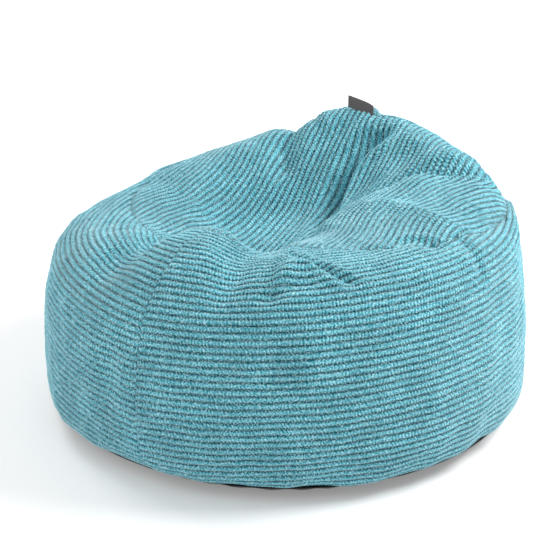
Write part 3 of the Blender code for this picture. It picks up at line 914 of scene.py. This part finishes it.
def foam(name, look):
    """The heap of foam crumb that fills the inner bag, with a crumbled surface."""
    up_it = np.linspace(FILL_STARTS_AT, TOP_SEAM_RING, 150)
    over_it = np.linspace(TOP_SEAM_RING, LAST_INNER_PLACE, 100)[1:]
    points, normals = shape(all_round(FILL_COLUMNS), np.hstack([up_it, over_it]))
    shell = closed_over(points - FILL_DEPTH * normals)
    grid = np.vstack([foam_bottom(shell[0])[:-1], shell])
    crumbs = CRUMB_HEIGHT * math.prod(smooth_noise(grid, size, seed) for size, seed in CRUMBS)
    grid = grid - grid_normals(grid) * np.abs(crumbs)[..., None]
    made = make_mesh(name, grid.reshape(-1, 3), grid_quads(round_index(*grid.shape[:2])), look)
    weld(made)
    return made


def tube(name, path, radius, sides, look):
    """A round tube along a path of many points, with closed ends."""
    ahead = unit(np.gradient(path, axis=0))
    side = unit(np.cross(ahead, (1.0, 0.0, 0.0)))
    third = np.cross(ahead, side)
    turn = all_round(sides)[None, :, None]
    points = path[:, None] + radius * (np.cos(turn) * side[:, None] + np.sin(turn) * third[:, None])
    points = np.vstack([points.reshape(-1, 3), path[:1], path[-1:]])
    count = len(path) * sides
    index = round_index(len(path), sides)
    faces = [grid_quads(index)]
    for rim, middle in ((index[0][::-1], count), (index[-1], count + 1)):
        corner = np.full(sides, middle)
        faces.append(np.stack([rim[:-1], rim[1:], corner, corner], axis=-1))
    return make_mesh(name, points, np.vstack(faces), look)


def zip_coil(name, sign, half, middle, look):
    """One row of zip teeth: a monofilament wound into a flat spiral."""
    wide = (COIL_OUTER_EDGE - COIL_INNER_EDGE) / 2
    end = half - STOP_LENGTH - PIECE_GAP - wide / 2
    turn = np.arange(0, 2 * end / COIL_PITCH, 1 / COIL_POINTS)
    angle = math.tau * turn
    x = np.minimum(-end + turn * COIL_PITCH + COIL_PITCH / 2 * (sign > 0), end)
    y = sign * (COIL_INNER_EDGE + wide) + (wide - COIL_WIRE) * np.cos(angle)
    z = middle + (COIL_HEIGHT / 2 - COIL_WIRE) * np.sin(angle)
    return tube(name, xyz(x, y, z), COIL_WIRE, 6, look)


def zip_tape(name, sign, half, lift, look):
    """One tape, a little wavy, with a herringbone relief and a row of stitches along its coil."""
    x = np.linspace(-half - TAPE_OVERHANG, half + TAPE_OVERHANG, TAPE_COLUMNS)
    across = np.linspace(0, 1, TAPE_ROWS)
    x, y = np.meshgrid(x, TAPE_INNER_EDGE + (TAPE_OUTER_EDGE - TAPE_INNER_EDGE) * across)
    share = across[:, None]
    bone = np.abs(((y / BONE_WIDTH) % 1) - 0.5) * 2
    stitched = np.abs(share - TAPE_STITCHES_AT) < TAPE_STITCHES_HALF
    low = lift + TAPE_GAP + TAPE_RELIEF + share * waves(x, TAPE_WAVE)
    low = low + waves(x + BONE_SLANT * bone, HERRINGBONE)
    low = low - TAPE_STITCH[0] * (stitched & (waves(x, TAPE_STITCH) > -0.4 * TAPE_STITCH[0]))
    high = low + TAPE_THICKNESS - 2 * TAPE_RELIEF
    layers = [xyz(x, sign * y, z)[:, ::sign] for z in (low, high)]
    return closed_sheet(name, *layers, look)


def waves(x, size):
    height, length = size
    return height * np.sin(math.tau * x / length)


def zip_pieces(prefix, half, lift, tape_look, coil_look):
    middle = lift + TAPE_GAP + TAPE_THICKNESS / 2
    for side, sign in (("front", -1), ("rear", 1)):
        tape = zip_tape(f"{prefix}_zip_tape_{side}_cloth", sign, half, lift, tape_look)
        place(tape, f"{prefix}_zip_tape_{side}", "zip_tape")
        coil = zip_coil(f"{prefix}_zip_teeth_{side}", sign, half, middle, coil_look)
        place(coil, f"{prefix}_zip_coil_{side}", "zip_coil")


def topstitching(name, look):
    """The two rows of stitches that hold the base cloth's folded edges along the zip."""
    along, thick = np.array(STITCH_PROFILE).T[..., None]
    sides = len(along)
    turn = all_round(sides)
    index = round_index(sides, sides)
    ends = [rim[[[0, 1, 2, 3], [3, 4, 5, 0]]] for rim in (index[0][::-1], index[-1])]
    faces = np.vstack([grid_quads(index), *ends])
    stitches = []
    for sign in (-1, 1):
        middle = sign * (ZIP_SLOT_HALF_WIDTH + STITCHES_FROM_SLOT)
        for start in np.arange(-STITCHED_HALF, STITCHED_HALF, STITCH_PITCH):
            x = start + along * STITCH_LENGTH
            y = middle + thick * STITCH_RADIUS * np.cos(turn)
            z = base_height(start, middle) - STITCH_SUNK
            z = z + thick * STITCH_RADIUS * STITCH_FLATNESS * np.sin(turn)
            stitches.append(xyz(x, y, z).reshape(-1, 3))
    faces = [faces + n * len(stitches[0]) for n in range(len(stitches))]
    return make_mesh(name, np.vstack(stitches), np.vstack(faces), look)


def label_stand():
    """The foot of the label in the top seam, the way out of the bag and the way up the label."""
    low, high = (np.array(corner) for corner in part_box("woven_label"))
    middle = (low + high) / 2
    angle = math.atan2(middle[0], -middle[1]) - LABEL_TURN
    half_angle = LABEL_WIDTH / 2 / math.hypot(middle[0], middle[1])
    share = np.linspace(0, 1, LABEL_COLUMNS)
    round_it = angle + np.linspace(-half_angle, half_angle, LABEL_COLUMNS)
    rest = np.linspace(round_it[-1], round_it[0] + math.tau, 200)[1:-1]
    places = TOP_SEAM_RING + np.array([-0.01, 0.0, 0.01])
    foot = shape(np.hstack([round_it, rest]), places)[0][1, :LABEL_COLUMNS]
    straight = foot[:1] + (foot[-1:] - foot[:1]) * share[:, None]
    foot = (1 - LABEL_STRAIGHTNESS) * foot + LABEL_STRAIGHTNESS * straight
    out = xyz(np.sin(round_it), -np.cos(round_it), 0)
    along = xyz(-np.cos(round_it), -np.sin(round_it), 0)
    foot = foot - LABEL_FOOT_IN * out
    foot[:, 2] += (1 - 2 * share) * LABEL_ROLL * LABEL_WIDTH / 2 - LABEL_FOOT_DOWN
    up = unit(np.array([0, 0, 1]) + LABEL_LEAN * out + STAND_ROLL * LABEL_ROLL * along)
    return foot, out, up


def label_sheet(name, look):
    """The folded label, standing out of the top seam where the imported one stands."""
    foot, out, up = label_stand()
    # up one face, over the fold and down the other
    side = np.hstack([np.linspace(0, 1, 24), np.ones(9), np.linspace(1, 0, 24)])
    over = math.pi * np.hstack([np.zeros(24), np.linspace(0, 1, 11)[1:-1], np.ones(24)])
    bow = LABEL_BOW * np.sin(math.pi * np.linspace(0, 1, LABEL_COLUMNS))
    layers = []
    for cloth in (LABEL_CLOTH, 0.0):
        half = LABEL_GAP / 2 + cloth
        lift = side * (LABEL_HEIGHT - half) + half * np.sin(over) - LABEL_SUNK
        spread = (half + LABEL_LOOSE * smooth_step(side) * (1 - side**4)) * np.cos(over)
        spread = spread[:, None] + bow * side[:, None]
        layers.append(foot + lift[:, None, None] * up + spread[..., None] * out)
    return closed_sheet(name, *layers, look)


def care_label_sheet(name, look):
    """A soft ribbon label, sewn on at one end and slightly curled at the other."""
    low, high = (np.array(corner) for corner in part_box("care_label"))
    across, along = np.meshgrid(np.linspace(0, 1, 41), np.linspace(0, 1, 66))
    x = low[0] + (high[0] - low[0]) * across
    y = low[1] + (high[1] - low[1]) * along
    curl = 0.00048 * np.sin(math.pi * across) * along + 0.00096 * smooth_step((along - 0.75) / 0.25)
    z = np.maximum(low[2] - curl, 0.0012) + 0.00004 * np.sin(math.tau * along * 60)
    layers = [xyz(x, y, z + lift)[:, ::-1] for lift in (0, CARE_CLOTH)]
    return closed_sheet(name, *layers, look)


def place(piece, node_name, slot_name):
    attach(piece, "bag")
    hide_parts(node_name)


# --- Materials ---
def give(tree, socket, value):
    """Link an output to a socket, or set the socket to a number or a colour."""
    if hasattr(value, "is_output"):
        tree.links.new(value, socket)
    elif isinstance(value, tuple):
        socket.default_value = (*value, 1)
    else:
        socket.default_value = value


def node(tree, kind, **settings):
    """Add a node. A setting is one of its inputs or one of its properties."""
    made = tree.nodes.new(kind)
    for name, value in settings.items():
        if name in made.inputs:
            give(tree, made.inputs[name], value)
        else:
            setattr(made, name, value)
    return made


def noise(tree, scale, detail, **settings):
    at = tree.nodes["Texture Coordinate"].outputs["Object"]
    return node(tree, "ShaderNodeTexNoise", Vector=at, Scale=scale, Detail=detail, **settings).outputs["Fac"]


def times(tree, first, second):
    made = node(tree, "ShaderNodeMath", operation="MULTIPLY")
    give(tree, made.inputs[0], first)
    give(tree, made.inputs[1], second)
    return made.outputs[0]


def ramp(tree, value, stops):
    made = node(tree, "ShaderNodeValToRGB", Fac=value)
    elements = made.color_ramp.elements
    while len(elements) < len(stops):
        elements.new(0.5)
    for element, (at, colour) in zip(elements, stops):
        element.position = at
        element.color = (*colour, 1)
    return made.outputs[0]


def mix(tree, first, second, factor, blend="MIX"):
    made = node(tree, "ShaderNodeMix", data_type="RGBA", blend_type=blend)
    for socket, value in ((6, first), (7, second), (0, factor)):
        give(tree, made.inputs[socket], value)
    return made.outputs[2]


def bump(tree, height, strength, distance, **settings):
    made = node(tree, "ShaderNodeBump", Strength=strength, Distance=distance, Height=height, **settings)
    return made.outputs[0]


def new_material(name):
    made = bpy.data.materials.new(name)
    made.use_nodes = True
    made.node_tree.nodes.new("ShaderNodeTexCoord")
    return made, made.node_tree


def finish_material(tree, **settings):
    shader = tree.nodes["Principled BSDF"]
    for name, value in settings.items():
        give(tree, shader.inputs[name.replace("_", " ")], value)


def chenille():
    made, tree = new_material("teal_chenille_cord")
    pile = node(tree, "ShaderNodeAttribute", attribute_name="pile").outputs["Fac"]
    tufts = noise(tree, 300.0, 2.5, Roughness=0.7)
    # painted shade: the colour darkens as the pile height drops, into the grooves between the ribs and along
    # the pressed seams
    colour = ramp(tree, pile, CORD_COLOURS_WITH_GROOVE_SHADE)
    # painted highlights on the tuft tips, then painted shade in the hollows between the tufts, both
    # following the tuft bump
    for stops, amount, tint in (TUFT_HIGHLIGHTS, TUFT_HOLLOW_SHADE):
        colour = mix(tree, colour, tint, times(tree, ramp(tree, tufts, stops), amount))
    drift = ramp(tree, noise(tree, 14.0, 3.0), COLOUR_DRIFT)
    fuzz = bump(tree, noise(tree, 900.0, 2.0, Roughness=0.6), 0.5, 0.0010)
    finish_material(
        tree,
        Base_Color=mix(tree, colour, drift, 1.0, "MULTIPLY"),
        Roughness=0.95,
        Specular_IOR_Level=0.15,
        Sheen_Weight=0.80,
        Sheen_Roughness=0.45,
        Sheen_Tint=SHEEN_TINT,
        Normal=bump(tree, tufts, 0.7, 0.0022, Normal=fuzz),
    )
    return made


def woven(name, thread, gap, per_metre, roughness, sheen):
    """A plain weave: two crossed sets of threads."""
    made, tree = new_material(name)
    at = tree.nodes["Texture Coordinate"].outputs["Object"]
    settings = {"Vector": at, "Scale": per_metre / 3.2, "Distortion": 0.6}
    warp, weft = (
        node(tree, "ShaderNodeTexWave", bands_direction=way, **settings).outputs["Fac"] for way in ("X", "Y")
    )
    weave = times(tree, warp, weft)
    speckled = times(tree, weave, noise(tree, per_metre / 2, 2.0))
    finish_material(
        tree,
        Base_Color=ramp(tree, speckled, ((0.0, gap), (0.6, thread))),
        Roughness=roughness,
        Sheen_Weight=sheen,
        Normal=bump(tree, weave, 0.5, 0.5 / per_metre),
    )
    return made


# --- Putting it together ---
def place_cloths(slot_name, pieces):
    for piece in pieces:
        place(piece, piece.name.removesuffix("_cloth"), slot_name)


def build_cover(teal, black):
    grid = band()
    half = BAND_COLUMNS // 2
    right = np.arange(half + 1)
    left = (right + half) % BAND_COLUMNS
    place_cloths("ribbed_cover", [
        side_panel("cover_side_right_cloth", grid, right, 0.0, 21, teal),
        side_panel("cover_side_left_cloth", grid, left, LEFT_RIB_SHIFT, 22, teal),
        top_panel("cover_top_cloth", teal),
    ])
    base = (COVER_ZIP_HALF, (0.0, BASE_THICKNESS), PUCKER_HEIGHT, black)
    place_cloths("base_cloth", [
        base_panel("cover_base_front_cloth", -1, *base),
        base_panel("cover_base_rear_cloth", 1, *base),
    ])
    stitches = topstitching("cover_zip_topstitching", black)
    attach(stitches, "bag")


def build_inside(white, crumb):
    base = (LINING_ZIP_HALF, LINING_BASE_DEPTHS, 0.0, white)
    place_cloths("lining_cloth", [
        inner_side("lining_side_right_cloth", 0.0, white),
        inner_side("lining_side_left_cloth", math.pi, white),
        inner_top("lining_top_cloth", white),
        base_panel("lining_base_front_cloth", -1, *base),
        base_panel("lining_base_rear_cloth", 1, *base),
    ])
    filling = foam("foam_crumb_filling", crumb)
    place(filling, "foam_fill", "foam_crumb")


def build_zips_and_labels(tape, coil, enamel, ribbon, care):
    zip_pieces("cover", COVER_ZIP_HALF, ARCH_HEIGHT + BASE_THICKNESS, tape, coil)
    lining_lift = ARCH_HEIGHT + LINING_BASE_DEPTH + LINING_TAPE_LIFT
    zip_pieces("lining", LINING_ZIP_HALF, lining_lift, tape, coil)
    for name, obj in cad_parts.items():
        if "stop" in name or "slider" in name:
            for slot in obj.material_slots:
                slot.material = enamel
    label = label_sheet("woven_label_ribbon", ribbon)
    place(label, "woven_label", "label_cloth")
    tag = care_label_sheet("care_label_ribbon", care)
    place(tag, "care_label", "care_cloth")


def camera_and_lamps():
    flat = math.cos(ELEVATION)
    way = Vector((math.sin(AZIMUTH) * flat, -math.cos(AZIMUTH) * flat, math.sin(ELEVATION)))
    data = bpy.data.cameras.new("camera")
    data.lens = SENSOR_WIDTH * DISTANCE / VIEW_WIDTH
    bpy.context.scene.camera = add("camera", data, TARGET + way * DISTANCE, TARGET)
    right = way.cross(Vector((0, 0, 1))) * -1
    for name, sideways, nearer, height, size, power in LAMPS:
        lamp = bpy.data.lights.new(name, "AREA")
        lamp.shape = "DISK"
        lamp.size = size
        lamp.energy = power
        add(name, lamp, TARGET + right * sideways + way * nearer + Vector((0, 0, height)), TARGET)


def world_and_floor():
    bpy.context.scene.view_settings.view_transform = "Standard"
    world = bpy.data.worlds.new("studio")
    bpy.context.scene.world = world
    world.use_nodes = True
    background = world.node_tree.nodes["Background"]
    background.inputs[0].default_value = (1, 1, 1, 1)
    background.inputs[1].default_value = WORLD_STRENGTH
    mesh = bpy.data.meshes.new("floor")
    corners = [(x * FLOOR_HALF, y * FLOOR_HALF, 0) for x, y in ((-1, -1), (1, -1), (1, 1), (-1, 1))]
    mesh.from_pydata(corners, [], [(0, 1, 2, 3)])
    pale, tree = new_material("pale_floor")
    at = tree.nodes["Texture Coordinate"].outputs["Object"]
    far = node(tree, "ShaderNodeVectorMath", operation="LENGTH", Vector=at).outputs["Value"]
    # painted light: the floor glows more the farther it is from the bag, so it stays darker beside the bag
    glow = node(tree, "ShaderNodeMapRange", Value=far, **FLOOR_GLOW).outputs["Result"]
    finish_material(
        tree, Base_Color=FLOOR_SHADE, Roughness=0.6, Emission_Color=WHITE, Emission_Strength=glow
    )
    mesh.materials.append(pale)
    add("floor", mesh, (0, 0, FLOOR_HEIGHT))


def main():
    teal = chenille()
    black, white, crumb, tape, coil, enamel, ribbon, care = (
        woven(name, *settings) for name, settings in WEAVES.items()
    )
    build_cover(teal, black)
    build_inside(white, crumb)
    build_zips_and_labels(tape, coil, enamel, ribbon, care)
    camera_and_lamps()
    world_and_floor()


main()
